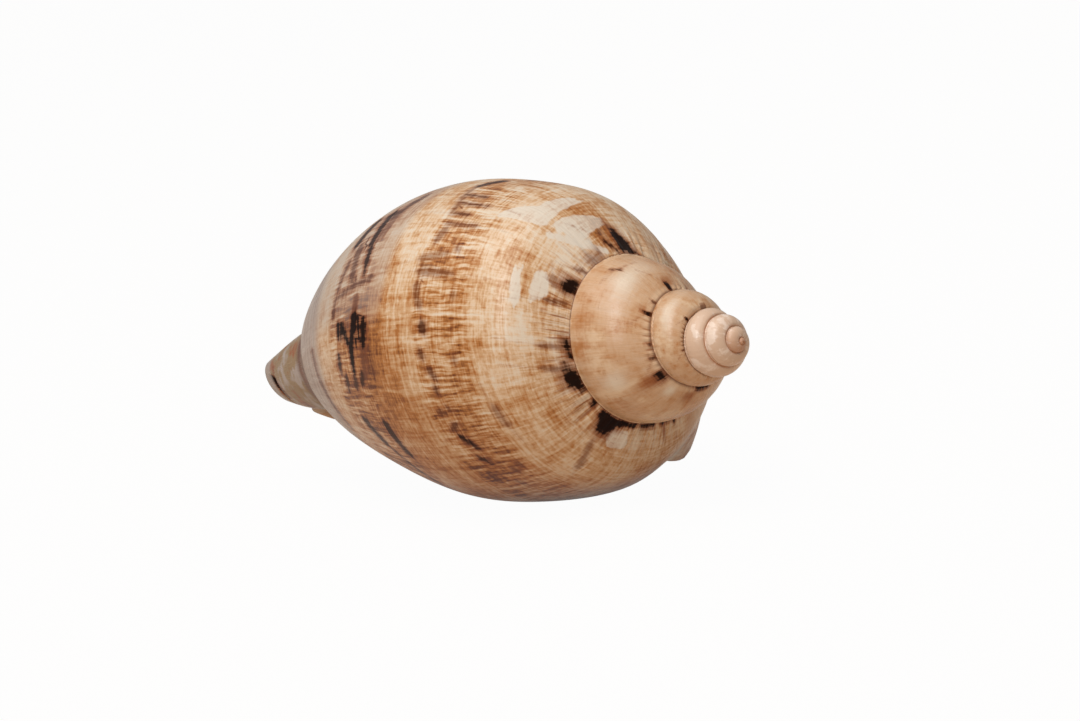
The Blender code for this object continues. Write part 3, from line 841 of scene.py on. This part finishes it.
class Signal:
    """The output of a node, which can be reckoned with like a number."""

    __add__ = reckoning("ADD")
    __sub__ = reckoning("SUBTRACT")
    __rsub__ = reckoning("SUBTRACT", True)
    __mul__ = reckoning("MULTIPLY")
    largest = reckoning("MAXIMUM")

    def __init__(self, wiring, socket):
        self.wiring = wiring
        self.socket = socket

    def ramp(self, low, high, start, end, kind="LINEAR"):
        """start at low, end at high, straight between."""
        ends = {"Value": self, "From Min": low, "From Max": high, "To Min": start, "To Max": end}
        return self.wiring.node("MapRange", ends, interpolation_type=kind)

    def step(self, low, high):
        """0 at low, 1 at high, smooth between; low may lie above high."""
        return self.ramp(low, high, 0, 1, "SMOOTHSTEP")

    def colours(self, *stops):
        """Colour between stops of (place, colour)."""
        made = self.wiring.node("ValToRGB", {0: self})
        elements = made.socket.node.color_ramp.elements
        while len(elements) < len(stops):
            elements.new(0.5)
        for element, (at, colour) in zip(elements, stops):
            element.position = at
            element.color = colour
        return made

    def parts(self):
        """The three numbers of a vector."""
        first = self.wiring.node("SeparateXYZ", {0: self})
        return [Signal(self.wiring, socket) for socket in first.socket.node.outputs]

    def noise(self, along, down, seed, detail=2, roughness=0.55):
        """Noise on the growth map, whose grains are `along` by `down` millimetres in size."""
        scaling = {0: self, 1: (1 / along, 1 / down, 1), 2: (seed, seed * 0.7, seed)}
        moved = self.wiring.node("VectorMath", scaling, operation="MULTIPLY_ADD")
        grains = {"Vector": moved, "Scale": 1, "Detail": detail, "Roughness": roughness}
        return self.wiring.node("TexNoise", grains)


class Wiring:
    """Adds nodes to a node tree and links them; what they give is a Signal."""

    def __init__(self, tree):
        self.tree = tree

    def feed(self, node, inputs):
        """Sets a node's inputs: a signal is linked, and anything else is the input's value."""
        for key, value in inputs.items():
            if isinstance(value, Signal):
                self.tree.links.new(value.socket, node.inputs[key])
            else:
                node.inputs[key].default_value = value

    def node(self, kind, inputs=None, output=0, **settings):
        """A new node with these settings and inputs; gives one of its outputs."""
        node = self.tree.nodes.new("ShaderNode" + kind)
        for key, value in settings.items():
            setattr(node, key, value)
        self.feed(node, inputs or {})
        return Signal(self, node.outputs[output])

    def mix(self, share, first, second):
        """Colour from first to second."""
        return self.node("Mix", {0: share, 6: first, 7: second}, 2, data_type="RGBA")

    def attribute(self, name):
        """The three numbers of an attribute."""
        return self.node("Attribute", output="Vector", attribute_name=name).parts()

    def seen(self):
        """1 for what the camera sees, straight or through glass."""
        straight = self.node("LightPath", output="Is Camera Ray")
        return straight.largest(self.node("LightPath", output="Is Transmission Ray"))


def new_material(name):
    """A material with nodes: itself, its main shader and its wiring."""
    material = bpy.data.materials.new(name)
    material.use_nodes = True
    return material, material.node_tree.nodes["Principled BSDF"], Wiring(material.node_tree)


def linear(red, green, blue):
    """A display colour of 0 to 255 as the shader's own, with alpha."""
    values = [v / 255 for v in (red, green, blue)]
    values = [v / 12.92 if v <= 0.04045 else ((v + 0.055) / 1.055) ** 2.4 for v in values]
    return (*values, 1)


def shell_material(look):
    """Cream and tan ground, netted with orange-brown, with dark strokes and pale tents."""
    material, shader, w = new_material("volute shell")
    uv = w.node("UVMap", uv_map="growth")
    place = w.node("VectorMath", {0: uv, 1: (1000, 1000, 0)}, operation="MULTIPLY")
    down = place.parts()[1]
    pale, bands, hanging = w.attribute("zones")
    spire, late_and_lower_shade, front_end = w.attribute("ends")
    bead, upper, valley = w.attribute("forms")
    shade, nucleus, cream_edge = w.attribute("tones_light_and_edges")
    lining = w.node("Attribute", output="Fac", attribute_name="lining")

    # ground: broad clouds, growth streaks and fine threads both ways add up to one tone
    clouds = place.noise(26, 15, 3.1, 3)
    growth = place.noise(2.6, 60, 7.7, 4, 0.65)
    warp = place.noise(5, 5, 1.9) - 0.5
    warped = w.node("VectorMath", {0: warp, 1: (1, 1, 0), 2: place}, operation="MULTIPLY_ADD")
    around = warped.noise(9, 0.5, 5.3)
    upright = warped.noise(0.62, 6, 9.4)
    patches = place.noise(6.5, 4.5, 2.2, 3, 0.62)
    grain = place.noise(1.1, 0.9, 6.1, 2, 0.6)
    rungs = bands * 1.1 + 0.48
    weave = (around - 0.5) * 0.48 + (upright - 0.5) * 0.85 * rungs + (grain - 0.5) * 0.42
    weave = weave * late_and_lower_shade.ramp(0, 1, 0.94, 0.78) * (1 - spire * 0.75)
    broad = (patches - 0.5) * 0.55 + (clouds - 0.5) * 0.4 + (growth - 0.5) * 0.45
    # painted light and shade: a few soft tones pale the lit upper side of the last whorl, and its later part
    # grows browner towards the floor partly as painted shade; the rest is the shell's own colour
    shades = shade * (1 - spire) + late_and_lower_shade * 0.12 + bands * 0.1 + upper * -0.03
    tone = weave + broad + shades + 0.465
    ground = tone.colours((0.28, look.pale), (0.43, look.cream), (0.55, look.tan), (0.7, look.netting),
                          (0.92, look.brown))

    def coat(share, colour):
        """Lays a colour over the ground, as thickly as the share says."""
        nonlocal ground
        ground = w.mix(share, ground, colour)

    coat(upper.step(0.75, 1) * 0.45, look.lilac)
    netting = tone.step(0.48, 0.72)

    # strokes that hang from the suture
    hang_wave = warped.noise(0.95, 11, 4.4, 2, 0.5)
    coat(hang_wave.step(0.54, 0.66) * hanging * 0.8, look.halo)
    coat(hang_wave.step(0.5, 0.4) * hanging * 0.5, look.pale)

    # pale tents and patches, with only faint threads left on them
    edge = place.noise(1.6, 0.8, 8.8, 2, 0.6).ramp(0.3, 0.7, -0.16, 0.16)
    coat((pale + edge).step(-0.15, 0.25) * (0.92 - netting * 0.3), look.tent)

    # the spire: tan with cream clouds, then a glossy cream-pink tip
    cloud = place.noise(11, 9, 6.6, 3).step(0.48, 0.66)
    whorl = w.mix(cloud, look.spire, look.cream)
    whorl = w.mix(netting * 0.45 + patches.step(0.48, 0.7) * 0.35, whorl, look.netting)
    whorl = w.mix(shade.step(0, 0.6), whorl, look.halo)
    whorl = w.mix(shade.step(0, -0.5), whorl, look.pale)
    coat(spire.step(0, 0.45) * 0.75, whorl)
    blush = w.mix(cloud.step(0, 1), look.spire, look.tip)
    coat(spire.step(0.72, 0.98), w.mix(0.45, blush, look.tip))
    coat(nucleus * 0.6, look.amber)

    # cream beads under the sutures of the spire
    row_of_beads = spire.step(0.1, 0.3) * spire.step(0.95, 0.7) * down.step(1.7, 0.9)
    coat(row_of_beads * 0.5, w.mix(bead.step(-0.85, -0.4), look.halo, look.cream))

    # the front end: greyish pink with lengthwise lines, a dark valley of its own brown with
    # painted shade, then the olive canal
    lines = place.noise(30, 1.1, 3.9, 2, 0.6)
    front = w.mix(lines.step(0.5, 0.64) * 0.66, look.lilac, look.purple)
    flecks = place.noise(20, 3.6, 1.3, 2, 0.6) + (lines - 0.5) * 0.35
    olive = flecks.colours((0.37, look.lilac), (0.46, look.olive), (0.54, look.olive), (0.64, look.halo),
                           (0.78, look.brown))
    coat(front_end.step(0, 0.5) * 0.82, front)
    coat(front_end.step(0.5, 0.75) * 0.9, olive)
    # painted shade: the valley beside the canal is darkened with purple and brown where the crevice behind
    # the body's edge lies in shade; part of that brown is its own colour
    valley = valley * lines.ramp(0.35, 0.65, 0.65, 1)
    coat(valley * 0.85, look.purple)
    coat(valley * 0.6, look.brown)

    # dark strokes and blotches with brown halos; fine threads break up their edges
    ragged = around.ramp(0.3, 0.7, -0.3, 0.3) + upright.ramp(0.3, 0.7, -0.35, 0.35)
    blot, blot_tone, rim = w.attribute("blots")
    depths = [(blot + patches.ramp(0.3, 0.7, -0.55, 0.3), blot_tone, 1.6)]
    for name in ("strokes_a", "strokes_b"):
        aside, width, stroke_tone = w.attribute(name)
        depths.append((width - aside.largest(aside * -1), stroke_tone, 1))
    glow = stain = core = 0
    for depth, ink, spread in depths:
        worn = depth + ragged
        glow = (worn.step(-1.7 * spread, -0.2) * ink.ramp(0, 1, 0.22, 0.7)).largest(glow)
        stain = (worn.step(-0.75 * spread, 0.25) * ink.ramp(0, 0.7, 0.28, 0.95)).largest(stain)
        core = (worn.step(-0.4, 0.4) * ink.ramp(0.5, 0.95, 0, 0.98)).largest(core)
    violet = upper.step(0.92, 1) * 0.4
    coat(glow, look.halo)
    coat(stain * (netting * 0.38 + 0.62), w.mix(violet, look.brown, look.purple))
    coat(core, w.mix(violet * 0.5, look.black, look.purple))
    coat(rim * 0.8, look.lilac)

    # a thin brown line in the sutures, and a cream edge at the end of the last one
    crevice = down.step(spire.ramp(0, 1, 0.35, 1.1), 0)
    coat(crevice * 0.75, w.mix(spire.step(0.75, 0.98), look.brown, look.amber))
    coat(cream_edge, look.tent)

    # inside: peach under the lip, cream further in; the lip's own edge stays striped
    inner = w.mix(lining.step(0.55, 0.95), look.peach, look.inside)
    coat(lining.step(0.12, 0.5) * 0.85, inner)

    # gloss and relief
    gloss = (growth + netting * 0.3).ramp(0.3, 1, look.roughness, look.roughness + 0.16) - spire * 0.06
    cords = (upright * 0.9 + around * 0.5) * (1 - spire * 0.85)
    height = (cords + growth * 0.9) * (1 - lining * 0.8)
    bump = w.node("Bump", {"Height": height, "Strength": look.bump, "Distance": 0.00012})
    w.feed(shader, {"Base Color": ground, "Roughness": gloss, "IOR": 1.36,
                    "Specular IOR Level": core.ramp(0, 1, 0.5, 0.12), "Normal": bump})
    return material


def floor_material():
    """A pale floor that shows white, with the object's shadow left on it."""
    material, shader, w = new_material("floor")
    w.feed(shader, {"Base Color": linear(*FLOOR_COLOUR), "Roughness": 0.9})
    mirrored = w.node("LightPath", output="Is Glossy Ray")
    share = w.seen().largest(mirrored * FLOOR_GLOSS) * FLOOR_WHITE
    white = w.node("Emission", {"Color": (1, 1, 1, 1), "Strength": 1})
    blend = w.node("MixShader", {0: share, 1: Signal(w, shader.outputs[0]), 2: white})
    w.feed(material.node_tree.nodes["Material Output"], {"Surface": blend})
    return material


# --- settings ---
ANGLE = {"subtype": "ANGLE", "unit": "ROTATION"}
POWER = {"subtype": "POWER", "unit": "POWER"}
DISTANCE = {"subtype": "DISTANCE", "unit": "LENGTH"}


def number(name, description, default, low=0, high=1000, **kind):
    """A setting that is a number, with its limits and its kind."""
    return bpy.props.FloatProperty(
        name=name, description=description, default=default, min=low, max=high, **kind)


def angle(name, description, degrees):
    """A setting that is an angle, kept in radians."""
    return number(name, description, math.radians(degrees), -math.pi, math.pi, **ANGLE)


def colour(name, description, *red_green_blue):
    """A setting that is a colour, given as shown, from 0 to 255."""
    return bpy.props.FloatVectorProperty(
        name=name, description=description, default=linear(*red_green_blue), size=4, min=0, max=1,
        subtype="COLOR")


class ShellColours(bpy.types.PropertyGroup):
    """Colours and finish of the shell"""

    cream: colour("Cream", "Lighter part of the ground", 222, 189, 154)
    tan: colour("Tan", "Darker part of the ground", 205, 160, 116)
    pale: colour("Pale", "Pale clouds and gaps", 226, 206, 182)
    tent: colour("Tents", "Plain tents in the netting", 224, 209, 190)
    netting: colour("Netting", "Fine threads", 180, 116, 60)
    brown: colour("Brown", "Knots and strokes", 102, 50, 20)
    halo: colour("Halo", "Round the dark strokes", 150, 84, 42)
    amber: colour("Tip sutures", "Thin sutures of the tip", 176, 108, 62)
    black: colour("Dark", "Darkest strokes", 26, 9, 4)
    spire: colour("Spire", "Ground of the spire", 202, 158, 120)
    tip: colour("Tip", "Smooth first whorls", 236, 211, 191)
    lilac: colour("Front", "Front end of the last whorl", 174, 158, 148)
    purple: colour("Front lines", "Lengthwise lines on the front end", 124, 98, 90)
    olive: colour("Canal", "Outside of the canal", 150, 122, 88)
    peach: colour("Lip", "Just inside the opening", 224, 178, 138)
    inside: colour("Inside", "Deep in the opening", 232, 204, 176)
    roughness: number("Roughness", "Of the shell's polished surface", 0.25, 0, 1)
    bump: number("Fine relief", "Strength of the fine cords and growth lines", 0.6, 0, 1)


class ShellShape(bpy.types.PropertyGroup):
    """Wall and fineness of the shell"""

    wall: number("Wall", "Thickness of the outer wall", WALL, 0.0005, 0.003, **DISTANCE)
    sections: bpy.props.IntProperty(
        name="Sections", description="Number of sections in one turn", default=STEPS, min=60, max=320)


class StageSettings(bpy.types.PropertyGroup):
    """Camera and light"""

    azimuth: angle("Azimuth", "Of the camera, from -Y towards +X", 48.48)
    elevation: angle("Elevation", "Of the camera over the floor", 9.63)
    tilt: angle("Tilt", "Of the camera about its own line of sight", -7.01)
    distance: number("Distance", "From the camera to the plane of the spire's tip", 0.876, 0.1, **DISTANCE)
    lens: number("Lens", "Focal length in millimetres", 166.7, 1)
    key_power: number("Key light", "Tall soft light in front", 6.3, **POWER)
    top_power: number("Top light", "Wide soft light overhead", 7, **POWER)
    sky: number("Sky", "Even light from all round", 0.29)


# --- operators ---
def new_object(name, data):
    """An object in the scene with this data."""
    made = bpy.data.objects.new(name, data)
    bpy.context.scene.collection.objects.link(made)
    return made


class SHELL_OT_grow(bpy.types.Operator):
    """Grow the shell, as one closed wall from the tip of the spire to the lip"""

    bl_idname = "volute.grow_shell"
    bl_label = "Grow the shell"

    def execute(self, context):
        shape = context.scene.volute_shape
        mesh, (turn, across, lining) = smooth_mesh("volute_shell", shape.sections, shape.wall)
        if len(mesh.polygons) == 0:
            raise RuntimeError("the shell has no faces")
        growth = np.stack(growth_map(turn, across), -1) / 1000
        mesh.uv_layers.new(name="growth").data.foreach_set("uv", growth.ravel())
        mesh.attributes.new("lining", "FLOAT", "CORNER").data.foreach_set("value", lining)
        for name, field in pattern_fields(turn, across).items():
            layer = mesh.attributes.new(name, "FLOAT_VECTOR", "CORNER")
            layer.data.foreach_set("vector", field.ravel())
        turn_outwards(mesh)
        mesh.materials.append(shell_material(context.scene.volute_colours))
        mesh.shade_smooth()
        shell = new_object("volute_shell", mesh)
        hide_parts("shell")
        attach(shell, "root")
        return {"FINISHED"}


def stand(thing, aim, azimuth, elevation, tilt, away):
    """Puts a camera or light `away` from its aim, along its own axes.

    Those are turned by the tilt, then from straight down up to the elevation,
    then by the azimuth.
    """
    turn = (Matrix.Rotation(azimuth, 4, "Z") @ Matrix.Rotation(math.pi / 2 - elevation, 4, "X")
            @ Matrix.Rotation(tilt, 4, "Z"))
    thing.matrix_world = Matrix.Translation(aim) @ turn @ Matrix.Translation(away)


def soft_light(name, energy, wide, high, azimuth, elevation, distance):
    """An area light that looks at the shell from an azimuth and elevation in degrees."""
    light = bpy.data.lights.new(name, "AREA")
    light.shape = "RECTANGLE"
    light.size = wide
    light.size_y = high
    light.energy = energy
    stand(new_object(name, light), AIM, math.radians(azimuth), math.radians(elevation), 0, (0, 0, distance))


class STAGE_OT_set(bpy.types.Operator):
    """Set the pale floor, the soft studio light and the camera"""

    bl_idname = "volute.set_stage"
    bl_label = "Set the stage"

    def execute(self, context):
        scene = context.scene
        stage = scene.volute_stage
        bpy.ops.mesh.primitive_plane_add(size=FLOOR_SIZE)
        floor = context.object
        floor.name = "floor"
        floor.data.materials.append(floor_material())
        scene.world = bpy.data.worlds.new("studio")
        scene.world.use_nodes = True
        w = Wiring(scene.world.node_tree)
        strength = w.seen() * (1 - stage.sky) + stage.sky
        w.feed(w.tree.nodes["Background"], {"Color": (1, 1, 1, 1), "Strength": strength})
        soft_light("key", stage.key_power, *KEY_LIGHT)
        soft_light("top", stage.top_power, *TOP_LIGHT)
        lens = bpy.data.cameras.new("camera")
        lens.lens = stage.lens
        camera = new_object("camera", lens)
        stand(camera, TIP, stage.azimuth, stage.elevation, stage.tilt, (-TIP_RIGHT, -TIP_UP, stage.distance))
        scene.camera = camera
        scene.view_settings.view_transform = "Standard"
        return {"FINISHED"}


class VOLUTE_PT_panel(bpy.types.Panel):
    """The shell's settings and steps, in order"""

    bl_idname = "VOLUTE_PT_panel"
    bl_label = "Volute Shell"
    bl_space_type = "VIEW_3D"
    bl_region_type = "UI"
    bl_category = "Volute Shell"

    def draw(self, context):
        for name in GROUPS:
            group = getattr(context.scene, name)
            column = self.layout.column(align=True)
            for setting in group.__annotations__:
                column.prop(group, setting)
        self.layout.operator(SHELL_OT_grow.bl_idname)
        self.layout.operator(STAGE_OT_set.bl_idname)


GROUPS = {"volute_shape": ShellShape, "volute_colours": ShellColours, "volute_stage": StageSettings}
CLASSES = (*GROUPS.values(), SHELL_OT_grow, STAGE_OT_set, VOLUTE_PT_panel)


def register():
    for cls in CLASSES:
        bpy.utils.register_class(cls)
    for name, group in GROUPS.items():
        setattr(bpy.types.Scene, name, bpy.props.PointerProperty(type=group))


def unregister():
    for name in GROUPS:
        delattr(bpy.types.Scene, name)
    for cls in reversed(CLASSES):
        bpy.utils.unregister_class(cls)


def main():
    register()
    bpy.ops.volute.grow_shell()
    bpy.ops.volute.set_stage()


if __name__ == "__main__":
    main()
